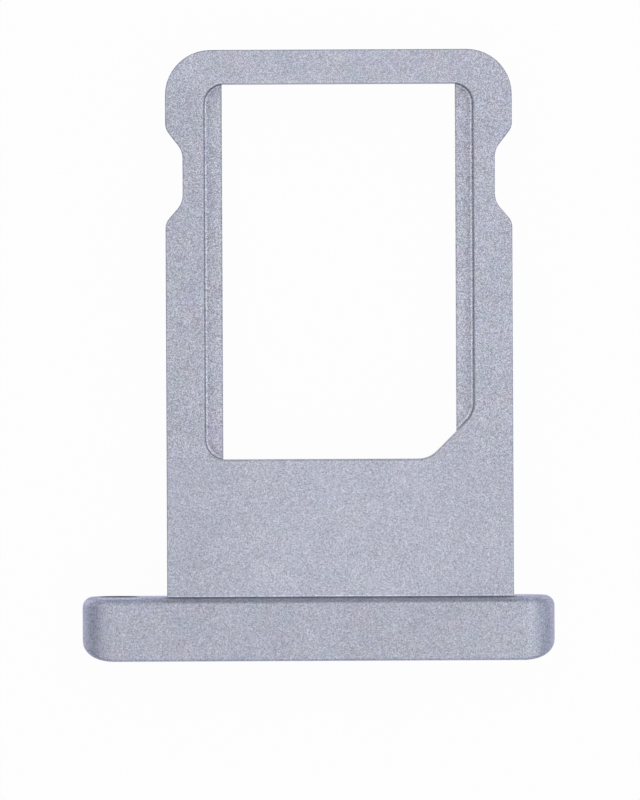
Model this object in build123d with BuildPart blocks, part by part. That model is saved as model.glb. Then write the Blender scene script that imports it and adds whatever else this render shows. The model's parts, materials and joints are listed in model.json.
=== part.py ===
from build123d import *
import math
import os

# A card tray milled from one piece of aluminium: a thin plate with a pocket for a nano card,
# and a rounded bar across its outer end that closes the slot and holds the ejector hole.
# Sizes are in millimetres. +Y is the way the tray slides in, +Z is the side the card lies on.
# The origin is under the middle of the whole tray, level with the bottom of the bar.

# The card, and the room left around it
card_length = 12.3
card_width = 8.8
card_thickness = 0.67
card_corner_cut = 1.65
side_clearance = 0.06
end_clearance = 0.07
cut_clearance = 0.2
depth_clearance = 0.01

# The pocket and the window through its floor
pocket_corner_radius = 0.66
cut_blend_radius = 0.85
floor_radius = 0.08
ledge_width = 0.59
ledge_thickness = 0.32

# The plate around the pocket
rail_width = 1.275
nose_bar = 1.11
shoulder_length = 4.53
nose_corner_radius = 1.5
plate_edge_radius = 0.045

# The notch in each side that the detent spring drops into, from the nose towards the bar
notch_start = 2.6
notch_lead = 0.74
notch_floor = 1.71
notch_tail = 0.66
notch_depth = 0.57
notch_mouth_radius = 0.5
notch_root_radius = 0.7

# The bar that shows on the outside
bezel_width = 15.65
bezel_height = 2.15
bezel_depth = 2.2
bezel_foot_depth = 0.48
face_radius = 5.5
rear_edge_radius = 0.35
front_edge_radius = 0.12

# Where the plate stands against the bar
plate_offset = 0.73
plate_drop = 0.42

# The hole that the ejector pin goes into
pin_hole_diameter = 1.3
pin_hole_inset = 1.19
pin_hole_edge_radius = 0.04

# The pocket takes its outline from the card
pocket_length = card_length + 2 * end_clearance
pocket_width = card_width + 2 * side_clearance
pocket_depth = card_thickness + depth_clearance
pocket_cut = card_corner_cut + side_clearance + end_clearance - cut_clearance * math.sqrt(2)
window_width = pocket_width - 2 * ledge_width
plate_width = pocket_width + 2 * rail_width
plate_thickness = pocket_depth + ledge_thickness
plate_reach = nose_bar + pocket_length + shoulder_length

# The curved front of the bar leans back from its top edge, and its rounded top edge stands a
# little behind the corner that the two surfaces would make
face_run = bezel_depth - bezel_foot_depth
face_chord = math.hypot(face_run, bezel_height)
face_lean = math.atan2(face_run, bezel_height) - math.asin(face_chord / 2 / face_radius)
front_setback = front_edge_radius * ((1 + math.sin(face_lean)) / math.cos(face_lean) - 1)

# Stations along the tray
overall_length = plate_reach + bezel_depth - front_setback
nose_y = overall_length / 2
pocket_end_y = nose_y - nose_bar
pocket_start_y = pocket_end_y - pocket_length
bezel_rear_y = nose_y - plate_reach
bezel_corner_y = bezel_rear_y - bezel_depth

# Levels and sides
plate_top_z = bezel_height - plate_drop
plate_base_z = plate_top_z - plate_thickness
pin_hole_x = pin_hole_inset - bezel_width / 2
plate_root_y = bezel_rear_y - bezel_foot_depth / 2
side_x = plate_width / 2
pocket_side_x = pocket_width / 2

# The space that the card drops into, with the milling tool's small round at its floor
with BuildPart() as card_space:
    with BuildSketch(Plane.XY.offset(plate_top_z)) as pocket_outline:
        with BuildLine():
            FilletPolyline(
                (pocket_side_x - pocket_cut, pocket_start_y),
                (pocket_side_x, pocket_start_y + pocket_cut),
                (pocket_side_x, pocket_end_y),
                (-pocket_side_x, pocket_end_y),
                (-pocket_side_x, pocket_start_y),
                radius=(
                    cut_blend_radius,
                    cut_blend_radius,
                    pocket_corner_radius,
                    pocket_corner_radius,
                    pocket_corner_radius,
                ),
                close=True,
            )
        make_face()
    extrude(amount=-pocket_depth)
    fillet(card_space.faces().sort_by(Axis.Z)[0].edges(), radius=floor_radius)

# The window keeps the pocket's ends and leaves a ledge down each long side
with BuildPart() as window_space:
    with BuildSketch(Plane.XY.offset(plate_base_z)):
        add(pocket_outline.sketch)
        with Locations((0, (pocket_start_y + pocket_end_y) / 2)):
            Rectangle(window_width, pocket_length, mode=Mode.INTERSECT)
    extrude(amount=plate_thickness)

# The plate, which runs a little way into the bar
with BuildPart() as plate:
    with BuildSketch(Plane.XY.offset(plate_base_z)):
        with BuildLine():
            FilletPolyline(
                (0, nose_y),
                (side_x, nose_y),
                (side_x, nose_y - notch_start),
                (side_x - notch_depth, nose_y - notch_start - notch_lead),
                (side_x - notch_depth, nose_y - notch_start - notch_lead - notch_floor),
                (side_x, nose_y - notch_start - notch_lead - notch_floor - notch_tail),
                (side_x, plate_root_y),
                radius=(
                    nose_corner_radius,
                    notch_mouth_radius,
                    notch_root_radius,
                    notch_root_radius,
                    notch_mouth_radius,
                ),
            )
            Polyline((side_x, plate_root_y), (0, plate_root_y), (0, nose_y))
        make_face()
        mirror(about=Plane.YZ)
    extrude(amount=plate_thickness)
    add(card_space.part, mode=Mode.SUBTRACT)
    add(window_space.part, mode=Mode.SUBTRACT)
    fillet(plate.faces().sort_by(Axis.Z)[-1].edges(), radius=plate_edge_radius)
    fillet(plate.faces().sort_by(Axis.Z)[0].outer_wire().edges(), radius=plate_edge_radius)

# The bar: a round-ended block whose front follows the curved edge of the device
with BuildPart() as bezel:
    with BuildSketch(Plane.XZ.offset(-bezel_rear_y)):
        with Locations((0, bezel_height / 2)):
            SlotOverall(bezel_width, bezel_height)
    extrude(amount=bezel_depth)
    with BuildSketch(Plane.YZ):
        with BuildLine():
            top_corner = (bezel_corner_y, bezel_height)
            foot_corner = (bezel_corner_y + face_run, 0)
            RadiusArc(foot_corner, top_corner, face_radius)
            Polyline(top_corner, (bezel_rear_y, bezel_height), (bezel_rear_y, 0), foot_corner)
        make_face()
    extrude(amount=bezel_width, both=True, mode=Mode.INTERSECT)
    fillet(bezel.faces().sort_by(Axis.Y)[-1].edges(), radius=rear_edge_radius)
    fillet(bezel.faces().sort_by(Axis.Y)[0].edges(), radius=front_edge_radius)

# One piece in the end
with BuildPart() as sim_tray:
    add(bezel.part)
    with Locations((plate_offset, 0, 0)):
        add(plate.part)
    with Locations(Plane((pin_hole_x, bezel_rear_y, bezel_height / 2), z_dir=(0, 1, 0))):
        Hole(radius=pin_hole_diameter / 2)
    hole_rims = sim_tray.edges(Select.LAST).filter_by(GeomType.LINE, reverse=True)
    fillet(hole_rims, radius=pin_hole_edge_radius)

sim_tray.part.label = "sim_tray"
os.makedirs("parts", exist_ok=True)
export_step(sim_tray.part, "parts/sim_tray.step")
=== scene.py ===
import json
import math

import bpy
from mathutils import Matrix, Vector

# A card tray in bead-blasted, anodised aluminium, seen from straight above on a pale floor.
# Metres throughout, apart from what a dictionary gives in mm. +Y is the way the tray slides in.

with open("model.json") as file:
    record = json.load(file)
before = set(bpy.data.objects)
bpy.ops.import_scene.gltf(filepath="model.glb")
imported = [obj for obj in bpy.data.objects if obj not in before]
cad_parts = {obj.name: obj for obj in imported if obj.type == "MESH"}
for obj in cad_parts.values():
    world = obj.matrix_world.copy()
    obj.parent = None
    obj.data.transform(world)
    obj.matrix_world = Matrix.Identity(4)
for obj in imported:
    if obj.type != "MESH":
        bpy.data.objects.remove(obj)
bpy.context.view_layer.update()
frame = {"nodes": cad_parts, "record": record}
tray = frame["nodes"]["sim_tray"]
toMm = 1000.0  # from metres
white = (1, 1, 1, 1)
print("frame loaded")


class Wire:  # a node's output that can stand in a sum
    def __init__(self, sheet, socket):
        self.sheet, self.socket = sheet, socket

    def __add__(self, other): return self.sheet.maths("ADD", self, other)
    def __radd__(self, other): return self.sheet.maths("ADD", other, self)
    def __sub__(self, other): return self.sheet.maths("SUBTRACT", self, other)
    def __rsub__(self, other): return self.sheet.maths("SUBTRACT", other, self)
    def __mul__(self, other): return self.sheet.maths("MULTIPLY", self, other)
    def __rmul__(self, other): return self.sheet.maths("MULTIPLY", other, self)
    def __abs__(self): return self.sheet.maths("ABSOLUTE", self)


class Sheet:  # the nodes of a material or of the world
    def __init__(self, owner):
        owner.use_nodes = True
        self.tree = owner.node_tree
        self.tree.nodes.clear()

    def node(self, kind, settings=None, sockets=None, out=0):
        made = self.tree.nodes.new(kind)
        for key, value in (settings or {}).items():
            if key == "stops":
                self.stops(made.color_ramp, value)
            else:
                setattr(made, key, value)
        for key, value in (sockets or {}).items():
            if isinstance(value, Wire):
                self.tree.links.new(value.socket, made.inputs[key])
            else:
                made.inputs[key].default_value = value
        return Wire(self, made.outputs[out]) if made.outputs else made

    def stops(self, ramp, values):
        while len(ramp.elements) < len(values):
            ramp.elements.new(0.5)
        for element, (place, colour) in zip(ramp.elements, values):
            element.position = place
            element.color = (*colour, 1)

    def maths(self, operation, *values):
        return self.node("ShaderNodeMath", {"operation": operation}, dict(enumerate(values)))

    def vectors(self, operation, first, second):
        last = "Scale" if operation == "SCALE" else 1
        return self.node("ShaderNodeVectorMath", {"operation": operation}, {0: first, last: second})

    def noise(self, place, size, detail, out=0):
        values = {"Vector": place, "Scale": 1 / size, "Detail": detail}
        return self.node("ShaderNodeTexNoise", {}, values, out)

    def fade(self, value, ends, low=0.0, high=1.0):  # low up to the first end, high from the second on
        start, stop = ends
        return self.node("ShaderNodeMapRange", {"interpolation_type": "SMOOTHSTEP"}, {
            "Value": value, "From Min": start, "From Max": stop, "To Min": low, "To Max": high})


def past(base, ends, share=1.0):  # two ends that are counted from base, or in shares of a width
    return base + share * ends[0], base + share * ends[1]


mounts = {mount["name"]: mount for mount in frame["record"]["mounts"]}


def mountPlace(name):  # in mm
    return [c * toMm for c in mounts[name]["pos_m"]]


metalLook = {
    # the finish; the sizes are in mm
    "colour": (0.456, 0.468, 0.543),  # grey with a little violet
    "roughness": 0.32,
    "roughnessSpread": 0.10,          # from one dimple of the bead blast to the next
    "grazing": (0.8, 0.81, 0.86),     # the dyed layer swallows more of the light that runs along it
    "grainSize": 0.023,               # one dimple
    "grainDepth": 0.003,
    "grainTone": 0.87,                # how much the dimples differ in tone
    "grainSkew": 0.4,                 # a few of them shine
    "ledgeGrain": 1.3,                # the cutter's marks make the ledges' grain this much stronger
    "railGrain": 1.2,                 # the same beside the pocket
    "toneDrift": 0.14,                # how far the tone drifts from place to place
    "toneSize": 1.4,
    "hueDrift": (0.13, 0.08, 0.14),   # the same for each colour: on the bar, the slab and around the pocket
    "hueSize": 0.7,
    "driftDetail": 2.0,               # higher makes the edges of its patches finer
    "shadedShift": (0.04, 0.03, -0.05),  # the narrow shaded strips are less blue
    # the bar, as shares of the plain tone
    "barToneAndLight": (0.905, 0.93),         # from its left end to its right one: darker than the plate, and lighter to the right by painted falloff of the light
    "endHighlight": 1.055,                 # a painted highlight on its round ends
    "cornerHighlight": 1.22,               # a painted highlight on its rear corner beside the eject hole
    "frontHighlight": 1.2,                 # a painted highlight along its front edge
    "lipHighlight": 1.09,                  # a painted highlight on its top, just before the back turns down to the plate
    "creaseShadeAndHighlight": (0.785, 1.2, 0.73),  # painted shade and a painted highlight on that turn, from above down to the plate
    "creaseWidth": 0.2,               # mm
    "boreShade": 0.2,                  # painted shade inside the eject hole
    "holeShadeAndHighlight": (0.65, 1.4),          # the rear edge over the hole: a painted dark line of shade, then a painted highlight
    # the plate
    "plateToneAndLight": (0.93, 1.0, 0.965),  # its left side, middle and right side: painted falloff of the light
    "noseTone": 0.985,
    "footHighlight": 1.7,                  # a painted highlight: the bright line beside the bar
    "footWidth": 0.045,               # mm
    "edgeShade": 0.86,                 # painted shade on its broken outer edge
    # the pocket
    "rimHighlightAndShade": (1.24, 0.8),           # a painted highlight on its broken edge at the nose, painted shade at the other end
    "wallShade": 0.56,                 # painted shade on its wall at the nose
    "ledgeShadeByWall": (0.965, 1.045),      # the card's ledges, from the wall to the window: painted shade by the wall
    "ledgeEdgeShade": (0.05, 0.75),        # a ledge's last stretch before the window, in mm, and its tone: painted shade on that broken edge
    "ledgeFootHighlight": (1.28, 1.45),        # a painted highlight: the bright line at the foot of the left wall and the right one
    "roundHighlight": 1.2,                 # a painted highlight on the small round between ledge and wall
    "cutterMark": 0.82,               # the thin arc that the cutter left in one corner
}

trayPlan = {  # mm, as in the model
    "middle": 0.73,       # of the plate, across
    "plateHalf": 5.735,
    "plateTop": 1.73,
    "wellHalf": 4.46,     # the pocket
    "wellStart": -3.443,
    "wellEnd": 8.997,
    "wellRound": 0.66,    # the radius of its corners
    "wellCut": 1.497,     # along each side
    "cutBlend": 0.39,
    "floorRound": 0.08,   # between its floor and its wall
    "windowHalf": 3.87,
    "barFront": -10.104,
}

metalBands = {  # mm, the two ends between which a tone fades in or out
    # from the bar's middle, to the right
    "barToneAndLight": (-7.5, 7.5),
    "barEnd": (7.4, 7.6),  # and to the left
    "cornerSide": (-7.15, -6.7),
    # from the bar's front, towards the nose
    "front": (0.049, 0.109),
    # from the bar's back, the same way
    "corner": (-0.36, -0.24),
    "cornerEnd": (-0.13, -0.08),
    "holeShadeAndHighlight": (-0.067, -0.055),
    "holeShade": (-0.033, -0.025),
    "plate": (-0.01, 0.0),
    # the same, in widths of the crease
    "lip": (-1.45, -1.3),
    "lipEnd": (-1.15, -1.05),
    "crease": (-1.12, -0.87),
    "creaseMiddle": (-0.75, -0.4),
    "creaseFoot": (-0.34, -0.22),
    # outwards from the hole's radius
    "bore": (0.04, 0.08),
    "besideHole": (0.0, 0.1),
    # from the plate's middle, to the right
    "plateLeft": (-5.3, -2.1),
    "plateRight": (2.5, 4.7),
    "halves": (-0.1, 0.1),
    # outwards from the side of the plate, and of the pocket
    "besidePlate": (0.0, 0.2),
    "rail": (0.0, 0.1),
    # outwards from the window's side, in widths of the ledge's last stretch
    "ledgeEdgeShade": (0.6, 1.0),
    # from the pocket's end at the bar, towards the nose
    "slabEnd": (-1.0, 0.5),
    "railStart": (-0.5, 0.5),
    "footRim": (0.05, 0.3),
    "cutterMark": (0.35, 0.55),
    # from its end at the nose, the same way
    "noseWall": (-0.62, -0.05),
    "lineEnd": (-0.5, -0.25),
    "nose": (-0.4, 0.3),
    "noseRim": (-0.3, -0.05),
    # inwards from its outline
    "outerEdge": (-0.1, -0.08),
    "footRimOuter": (-0.066, -0.056),
    "rim": (-0.05, -0.04),
    "footRimInner": (-0.03, -0.02),
    "well": (-0.012, -0.004),
    "wall": (0.004, 0.01),
    "shaded": (0.05, 0.08),
    "lineLeft": (0.05, 0.13),
    "lineRight": (0.085, 0.115),
    "markOuter": (0.12, 0.135),
    "markInner": (0.15, 0.165),
    # up from the ledges
    "ledgeFoot": (-0.02, -0.01),
    "ledgeTop": (0.01, 0.08),
    "lineRightTop": (0.0005, 0.004),
    "round": (0.01, 0.018),
    "lineLeftTop": (0.03, 0.05),
    # up from the plate's top
    "wallTop": (-0.05, -0.045),
    "rimFoot": (-0.045, -0.04),
    "edgeFoot": (-0.045, -0.035),
    "footLine": (-0.02, -0.01),
    "edgeTop": (-0.01, -0.001),
    # up from the ground
    "holeShadeFoot": (1.76, 1.8),
}


class Spot:  # where on the tray a point of its surface lies, in mm, and the parts it belongs to
    def __init__(self, s, look, plan, bands):
        self.place = s.vectors("SCALE", s.node("ShaderNodeTexCoord", out="Object"), toMm)
        x, y, z = [s.node("ShaderNodeSeparateXYZ", {}, {0: self.place}, out=letter) for letter in "XYZ"]
        self.x, self.y, self.z = x, y, z
        self.across = x - plan["middle"]
        self.aside = abs(self.across)
        self.fromWall = self.depthInWell(s, plan)
        self.back = mountPlace("bar_seat")[1]
        self.ledge = mountPlace("card_seat")[2]
        self.onPlate = s.fade(y, past(self.back, bands["plate"]))
        self.besidePlate = s.fade(self.aside, past(plan["plateHalf"], bands["besidePlate"]), 1.0, 0.0)
        self.inCrease = s.fade(y, past(self.back, bands["crease"], look["creaseWidth"])) * self.besidePlate
        self.inWell = s.fade(self.fromWall, bands["well"])
        self.onLedge = self.inWell * s.fade(z, past(self.ledge, bands["ledgeFoot"]))
        self.onLedge = self.onLedge * s.fade(z, past(self.ledge, bands["ledgeTop"]), 1.0, 0.0)

    def depthInWell(self, s, plan):  # inwards from the outline of a rounded box with one corner cut
        along = self.y - (plan["wellStart"] + plan["wellEnd"]) / 2
        overX = self.aside - (plan["wellHalf"] - plan["wellRound"])
        overY = abs(along) - ((plan["wellEnd"] - plan["wellStart"]) / 2 - plan["wellRound"])
        outX, outY = s.maths("MAXIMUM", overX, 0.0), s.maths("MAXIMUM", overY, 0.0)
        reach = s.maths("SQRT", outX * outX + outY * outY)
        within = s.maths("MINIMUM", s.maths("MAXIMUM", overX, overY), 0.0)
        fromSides = plan["wellRound"] - reach - within
        cutPlace = plan["wellHalf"] - plan["wellStart"] - plan["wellCut"]
        fromCut = (self.y - self.across + cutPlace) * math.sqrt(0.5)
        return s.maths("SMOOTH_MIN", fromSides, fromCut, plan["cutBlend"])


def barTones(s, spot, look, plan, bands):
    y, back, wide = spot.y, spot.back, look["creaseWidth"]
    # the bar's tone, lighter to the right by painted falloff of the light
    tone = s.fade(spot.x, bands["barToneAndLight"], *look["barToneAndLight"])
    # a painted highlight along the front edge
    tone = tone * s.fade(y, past(plan["barFront"], bands["front"]), look["frontHighlight"], 1.0)
    # a painted highlight on the round ends
    tone = tone * s.fade(abs(spot.x), bands["barEnd"], 1.0, look["endHighlight"])
    # a painted highlight on the rear corner beside the eject hole
    corner = s.fade(spot.x, bands["cornerSide"], look["cornerHighlight"] - 1, 0.0)
    corner = corner * s.fade(y, past(back, bands["corner"]))
    tone = tone * (1 + corner * s.fade(y, past(back, bands["cornerEnd"]), 1.0, 0.0))
    # painted shade, then a painted highlight, then painted shade across the crease down to the plate
    above, amid, below = look["creaseShadeAndHighlight"]
    crease = s.fade(y, past(back, bands["creaseMiddle"], wide), above, amid)
    crease = crease * s.fade(y, past(back, bands["creaseFoot"], wide), 1.0, below / amid)
    tone = tone * (1 + spot.inCrease * (crease - 1))
    # a painted highlight on the lip before the turn
    lip = s.fade(y, past(back, bands["lip"], wide), 0.0, look["lipHighlight"] - 1) * spot.besidePlate
    return tone * (1 + lip * s.fade(y, past(back, bands["lipEnd"], wide), 1.0, 0.0))


def plateTones(s, spot, look, plan, bands):
    y, z, fromWall = spot.y, spot.z, spot.fromWall
    top, wellStart, wellEnd = plan["plateTop"], plan["wellStart"], plan["wellEnd"]
    left, middle, right = look["plateToneAndLight"]
    # painted falloff of the light across the plate
    tone = s.fade(spot.across, bands["plateLeft"], left, middle)
    tone = tone * s.fade(spot.across, bands["plateRight"], 1.0, right)
    onNose = s.fade(y, past(wellEnd, bands["nose"]))
    tone = tone + onNose * (look["noseTone"] - tone)
    # a painted highlight on the plate beside the bar
    footLine = s.fade(y, (spot.back, spot.back + look["footWidth"]), look["footHighlight"] - 1, 0.0)
    tone = tone * (1 + footLine * s.fade(z, past(top, bands["footLine"])))

    # the pocket's broken edge and its wall at the nose, then the outer edge: painted highlights and painted
    # shade
    noseRim, footRim = look["rimHighlightAndShade"]
    onRim = s.fade(fromWall, bands["rim"]) * s.fade(z, past(top, bands["rimFoot"]))
    tone = tone * (1 + onRim * s.fade(y, past(wellEnd, bands["noseRim"]), 0.0, noseRim - 1))
    rim = s.fade(fromWall, bands["footRimOuter"]) * s.fade(fromWall, bands["footRimInner"], 1.0, 0.0)
    tone = tone * (1 + rim * s.fade(y, past(wellStart, bands["footRim"]), footRim - 1, 0.0))
    # painted shade on the pocket's wall at the nose
    onWall = spot.inWell * s.fade(fromWall, bands["wall"], 1.0, 0.0)
    onWall = onWall * s.fade(z, past(top, bands["wallTop"]), 1.0, 0.0)
    tone = tone * (1 + onWall * s.fade(y, past(wellEnd, bands["noseWall"]), 0.0, look["wallShade"] - 1))
    # painted shade on the plate's broken outer edge
    edge = s.fade(z, past(top, bands["edgeFoot"]), 0.0, look["edgeShade"] - 1)
    edge = edge * s.fade(z, past(top, bands["edgeTop"]), 1.0, 0.0)
    return tone * (1 + edge * s.fade(fromWall, bands["outerEdge"], 1.0, 0.0))


def ledgeTones(s, spot, look, plan, bands):
    z, fromWall, ledge = spot.z, spot.fromWall, spot.ledge
    # painted shade on the ledge, darker towards the wall
    byWall, byWindow = look["ledgeShadeByWall"]
    tone = s.fade(spot.aside, (plan["windowHalf"], plan["wellHalf"] - plan["floorRound"]), byWindow, byWall)
    # painted shade on the ledge's broken edge at the window
    edgeWide, edgeShade = look["ledgeEdgeShade"]
    tone = tone * s.fade(spot.aside, past(plan["windowHalf"], bands["ledgeEdgeShade"], edgeWide), edgeShade, 1.0)

    # a painted highlight along the foot of the side walls, another on the round above it, and the cutter's
    # arc
    toneLeft, toneRight = look["ledgeFootHighlight"]
    lineLeft = s.fade(fromWall, bands["lineLeft"], toneLeft - 1, 0.0)
    lineLeft = lineLeft * s.fade(z, past(ledge, bands["lineLeftTop"]), 1.0, 0.0)
    lineRight = s.fade(fromWall, bands["lineRight"], toneRight - 1, 0.0)
    lineRight = lineRight * s.fade(z, past(ledge, bands["lineRightTop"]), 1.0, 0.0)
    onRight = s.fade(spot.across, bands["halves"])
    line = lineLeft + onRight * (lineRight - lineLeft)
    line = line * s.fade(spot.y, past(plan["wellEnd"], bands["lineEnd"]), 1.0, 0.0)
    # a painted highlight on the round between ledge and wall
    line = line + s.fade(z, past(ledge, bands["round"]), 0.0, look["roundHighlight"] - 1)
    mark = s.fade(fromWall, bands["markOuter"])
    mark = mark * s.fade(fromWall, bands["markInner"], look["cutterMark"] - 1, 0.0)
    mark = mark * (1 - onRight) * s.fade(spot.y, past(plan["wellStart"], bands["cutterMark"]), 1.0, 0.0)
    return tone * (1 + line + mark)


def holeShading(s, spot, tone, look, bands):
    holeX, _, holeZ = mountPlace("pin_hole")
    radius = mounts["pin_hole"]["dims"]["r_mm"]
    overX, overZ = spot.x - holeX, spot.z - holeZ
    # painted shade inside the bore
    squares = [end ** 2 for end in past(radius, bands["bore"])]
    tone = tone * s.fade(overX * overX + overZ * overZ, squares, look["boreShade"], 1.0)
    # a painted line of shade and a painted highlight along the rear edge over the hole
    dark, bright = look["holeShadeAndHighlight"]
    shadeEnds = past(spot.back, bands["holeShade"])
    shade = s.fade(spot.y, shadeEnds, 0.0, dark - 1) * s.fade(spot.z, bands["holeShadeFoot"])
    line = s.fade(spot.y, past(spot.back, bands["holeShadeAndHighlight"])) * s.fade(spot.y, shadeEnds, 1.0, 0.0)
    beside = s.fade(abs(overX), past(radius, bands["besideHole"]), 1.0, 0.0)
    return tone * (1 + beside * (shade + line * (bright - 1)))


def driftingColour(s, spot, look, plan, bands):
    drift = s.noise(spot.place, look["hueSize"], look["driftDetail"], out="Color")
    drift = s.vectors("SUBTRACT", drift, (0.5, 0.5, 0.5))  # around 0
    onBar, onSlab, aroundWell = look["hueDrift"]
    amount = s.fade(spot.y, past(plan["wellStart"], bands["slabEnd"]), onSlab, aroundWell)
    amount = onBar + spot.onPlate * (amount - onBar)
    drift = s.vectors("ADD", s.vectors("SCALE", drift, amount), (1.0, 1.0, 1.0))
    alongWall = s.fade(spot.fromWall, bands["rim"]) * s.fade(spot.fromWall, bands["shaded"], 1.0, 0.0)
    shaded = s.maths("MAXIMUM", alongWall, spot.inCrease * (1 - spot.onPlate))
    drift = s.vectors("ADD", drift, s.vectors("SCALE", look["shadedShift"], shaded))
    return s.vectors("MULTIPLY", drift, look["colour"])


def makeMetal(look, plan, bands):
    material = bpy.data.materials.new("anodisedAluminium")
    s = Sheet(material)
    spot = Spot(s, look, plan, bands)

    # the bead blast: each dimple has a number of its own, around 0, and a hollow
    dimples = {"Vector": spot.place, "Scale": 1 / look["grainSize"]}
    dimple = s.node("ShaderNodeTexVoronoi", {}, dimples, out="Color")
    dimple = s.node("ShaderNodeSeparateColor", {}, {0: dimple}) - 0.5
    hollow = s.node("ShaderNodeTexVoronoi", {}, dimples, out="Distance")
    deep = look["grainDepth"] / toMm
    bump = s.node("ShaderNodeBump", {}, {"Strength": 1.0, "Distance": deep, "Height": hollow})

    # the tone of each part, with its painted highlights and painted shade
    barToneAndLight = barTones(s, spot, look, plan, bands)
    plateToneAndLight = plateTones(s, spot, look, plan, bands)
    tone = barToneAndLight + spot.onPlate * (plateToneAndLight - barToneAndLight)
    tone = tone * (1 + spot.onLedge * (ledgeTones(s, spot, look, plan, bands) - 1))

    # the dimples' own tones, painted shade and a painted highlight at the eject hole, and a slow drift
    skewed = dimple + dimple * dimple * look["grainSkew"]
    onRail = s.fade(spot.aside, past(plan["wellHalf"], bands["rail"]), 0.0, look["railGrain"] - 1)
    onRail = onRail * s.fade(spot.y, past(plan["wellStart"], bands["railStart"]))
    stronger = 1 + spot.onLedge * (look["ledgeGrain"] - 1) + onRail
    tone = tone * (1 + skewed * look["grainTone"] * stronger)
    tone = holeShading(s, spot, tone, look, bands)
    slow = s.noise(spot.place, look["toneSize"], look["driftDetail"]) - 0.5
    tone = tone * (1 + slow * look["toneDrift"])

    shader = s.node("ShaderNodeBsdfPrincipled", {}, {
        "Base Color": s.vectors("SCALE", driftingColour(s, spot, look, plan, bands), tone),
        "Metallic": 1.0,
        "Roughness": look["roughness"] + dimple * look["roughnessSpread"],
        "Specular Tint": (*look["grazing"], 1),
        "Normal": bump,
    })
    s.node("ShaderNodeOutputMaterial", {}, {"Surface": shader})
    return material


metal = makeMetal(metalLook, trayPlan, metalBands)
for held in tray.material_slots:
    held.material = metal
print("metal made")

floorLook = {
    "tone": 0.6,
    "shown": 0.97,             # share of plain white that the camera sees, the rest holds the shadow
    "mirrored": (0.9, 0.15),   # the same for what the metal reflects, beside the tray and further off
    "mirrorTint": (0.95, 0.96, 1.1),
    "fade": (0.5, 6.5),        # mm from the tray's box over which it falls
    "box": (7.8, 10.1),        # half the tray's width and length, in mm
    "half": 1.5,               # metres from the middle to each side
    "gap": 0.00001,            # metres below the tray
}


def makeFloor(look):
    half, low = look["half"], -look["gap"]
    mesh = bpy.data.meshes.new("floor")
    corners = [(-half, -half, low), (half, -half, low), (half, half, low), (-half, half, low)]
    mesh.from_pydata(corners, [], [(0, 1, 2, 3)])
    floor = bpy.data.objects.new("floor", mesh)
    bpy.context.scene.collection.objects.link(floor)
    material = bpy.data.materials.new("paleFloor")
    s = Sheet(material)
    camera, glossy, through = [s.node("ShaderNodeLightPath", out=f"Is {kind} Ray")
                               for kind in ("Camera", "Glossy", "Transmission")]
    place = s.node("ShaderNodeTexCoord", out="Object")
    x, y = [s.node("ShaderNodeSeparateXYZ", {}, {0: place}, out=letter) * toMm for letter in "XY"]
    wide, long = look["box"]
    beyond = s.maths("MAXIMUM", abs(x) - wide, abs(y) - long)
    mirrored = s.fade(beyond, look["fade"], *look["mirrored"])
    matt = s.node("ShaderNodeBsdfDiffuse", {}, {"Color": (*[look["tone"]] * 3, 1)})
    plain = s.node("ShaderNodeEmission", {}, {"Color": white, "Strength": 1.0})
    mirror = s.node("ShaderNodeEmission", {}, {"Color": (*look["mirrorTint"], 1), "Strength": 1.0})
    mixed = s.node("ShaderNodeMixShader", {}, {0: (camera + through) * look["shown"], 1: matt, 2: plain})
    mixed = s.node("ShaderNodeMixShader", {}, {0: glossy * mirrored, 1: mixed, 2: mirror})
    s.node("ShaderNodeOutputMaterial", {}, {"Surface": mixed})
    mesh.materials.append(material)


makeFloor(floorLook)
print("floor made")

skyLook = {
    # height of the direction, from the horizon at 0 to straight up at 1, and its colour
    "stops": [
        (0.0, (0.62, 0.65, 0.775)),
        (0.34, (0.645, 0.675, 0.755)),
        (0.64, (0.94, 0.95, 0.99)),
        (1.0, (1.02, 1.02, 1.03)),
    ],
    "rightward": 0.2,  # brighter to the right by this
    "sooner": 0.07,    # the sky's dark rim reaches this much higher there
    "endward": 0.15,   # darker towards the nose and the bar by this
    "shown": 1.0,      # what the camera sees of it is plain white
}


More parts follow.
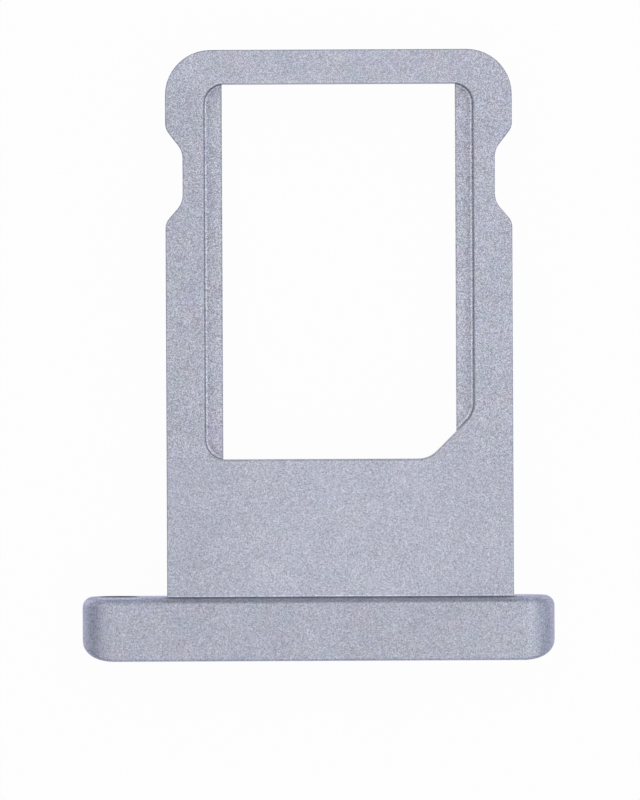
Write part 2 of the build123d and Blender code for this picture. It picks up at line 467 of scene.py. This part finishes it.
def makeSky(look):
    world = bpy.data.worlds.new("studio")
    bpy.context.scene.world = world
    s = Sheet(world)
    place = s.node("ShaderNodeTexCoord", out="Generated")
    x, y, z = [s.node("ShaderNodeSeparateXYZ", {}, {0: place}, out=letter) for letter in "XYZ"]
    height = z - s.maths("MAXIMUM", x, 0.0) * look["sooner"]
    tone = s.node("ShaderNodeValToRGB", {"stops": look["stops"]}, {0: height})
    level = 1 + x * look["rightward"] - y * y * look["endward"]
    lit = s.node("ShaderNodeBackground", {}, {"Color": tone, "Strength": level})
    seen = s.node("ShaderNodeBackground", {}, {"Color": white, "Strength": look["shown"]})
    camera = s.node("ShaderNodeLightPath", out="Is Camera Ray")
    mixed = s.node("ShaderNodeMixShader", {}, {0: camera, 1: lit, 2: seen})
    s.node("ShaderNodeOutputWorld", {}, {"Surface": mixed})


makeSky(skyLook)
print("sky made")

softboxes = {
    # lean is in degrees from straight up, way in degrees from +X seen from above, the rest in metres
    "softboxRight": {"lean": 28, "way": 10, "wide": 0.26, "away": 0.45, "radiance": 0.11},
    "softboxLeft": {"lean": 38, "way": 190, "wide": 0.26, "away": 0.45, "radiance": 0.12},
}


def makeSoftbox(name, lean, way, wide, away, radiance):
    lean, way = math.radians(lean), math.radians(way)
    out = Vector((math.sin(lean) * math.cos(way), math.sin(lean) * math.sin(way), math.cos(lean)))
    data = bpy.data.lights.new(name, "AREA")
    data.shape = "SQUARE"
    data.size = wide
    data.energy = radiance * math.pi * wide * wide
    lamp = bpy.data.objects.new(name, data)
    lamp.location = out * away
    lamp.rotation_euler = out.to_track_quat("Z", "Y").to_euler()
    bpy.context.scene.collection.objects.link(lamp)


for name, values in softboxes.items():
    makeSoftbox(name, **values)
print("lamps made")

shot = {  # mm, apart from the turn
    "look": (0.078, -1.485, 1.73),  # the point at the picture's middle
    "away": 230.0,                  # from that point to the camera
    "wide": 21.164,                 # what the picture's width spans there
    "sensor": 36.0,
    "nearest": 10.0,                # nothing closer to the camera is drawn
    "turn": 0.0046,                 # radians
}


def makeCamera(look):
    data = bpy.data.cameras.new("camera")
    camera = bpy.data.objects.new("camera", data)
    bpy.context.scene.collection.objects.link(camera)
    x, y, z = look["look"]
    camera.location = (x / toMm, y / toMm, (z + look["away"]) / toMm)
    camera.rotation_euler = (0, 0, -look["turn"])
    data.sensor_fit = "HORIZONTAL"
    data.sensor_width = look["sensor"]
    data.lens = look["sensor"] * look["away"] / look["wide"]
    data.clip_start = look["nearest"] / toMm
    bpy.context.scene.camera = camera


makeCamera(shot)
bpy.context.scene.view_settings.view_transform = "Standard"
print("camera made")
